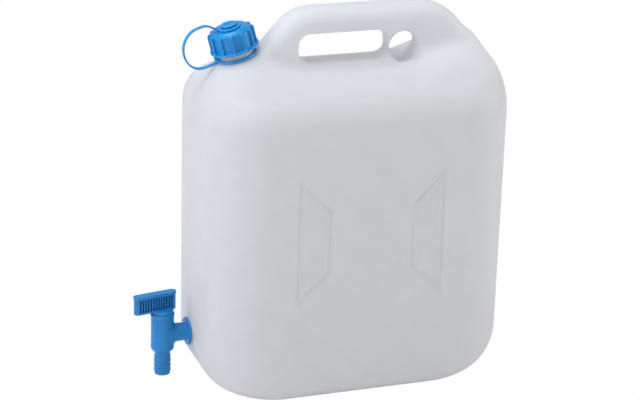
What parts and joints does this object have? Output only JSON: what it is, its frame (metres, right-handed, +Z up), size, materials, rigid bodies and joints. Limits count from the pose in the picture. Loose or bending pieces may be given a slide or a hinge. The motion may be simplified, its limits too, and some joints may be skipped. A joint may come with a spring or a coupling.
{
  "type": "carboy with spigot",
  "caption": "Translucent plastic storage jug with a moulded carrying handle, a tilted neck with a strapped screw cap and a turning tap low on one narrow side.",
  "frame": {"origin": "middle of the vessel's base, on the surface it stands on", "axes": "+Z up, -X towards the tap and the neck, the wide faces look along -Y and +Y"},
  "size_m": [0.4077, 0.192, 0.421],
  "materials": {
    "vessel": "satin",
    "tap": "satin",
    "plug": "satin",
    "cap": "satin",
    "strap": "satin",
    "seal": "matte",
    "gasket": "matte"
  },
  "bodies": {
    "container": {"container_body": "vessel", "tap_gasket": "gasket", "tap_body": "tap"},
    "plug": {"tap_plug": "plug"},
    "carrier": {"cap_strap": "strap"},
    "cap": {"screw_cap": "cap", "cap_seal": "seal"}
  },
  "joints": [
    {"name": "tap_turn", "type": "hinge", "parent": "container", "child": "plug", "pos_m": [-0.203, 0, 0.1], "axis": [0, 0, 1], "range_deg": [0, 90]},
    {"name": "cap_lift", "type": "slide", "parent": "container", "child": "carrier", "axis": [-0.2672, 0, 0.9636], "range_m": [0, 0.012], "deforming": ["cap_strap"]},
    {"name": "cap_turn", "type": "hinge", "parent": "carrier", "child": "cap", "pos_m": [-0.123, 0, 0.371], "axis": [-0.2672, 0, 0.9636], "range_deg": [0, 1080]}
  ],
  "couplings": [
    {"joint": "cap_lift", "follows": "cap_turn", "m_per_rad": 0.00063662}
  ]
}
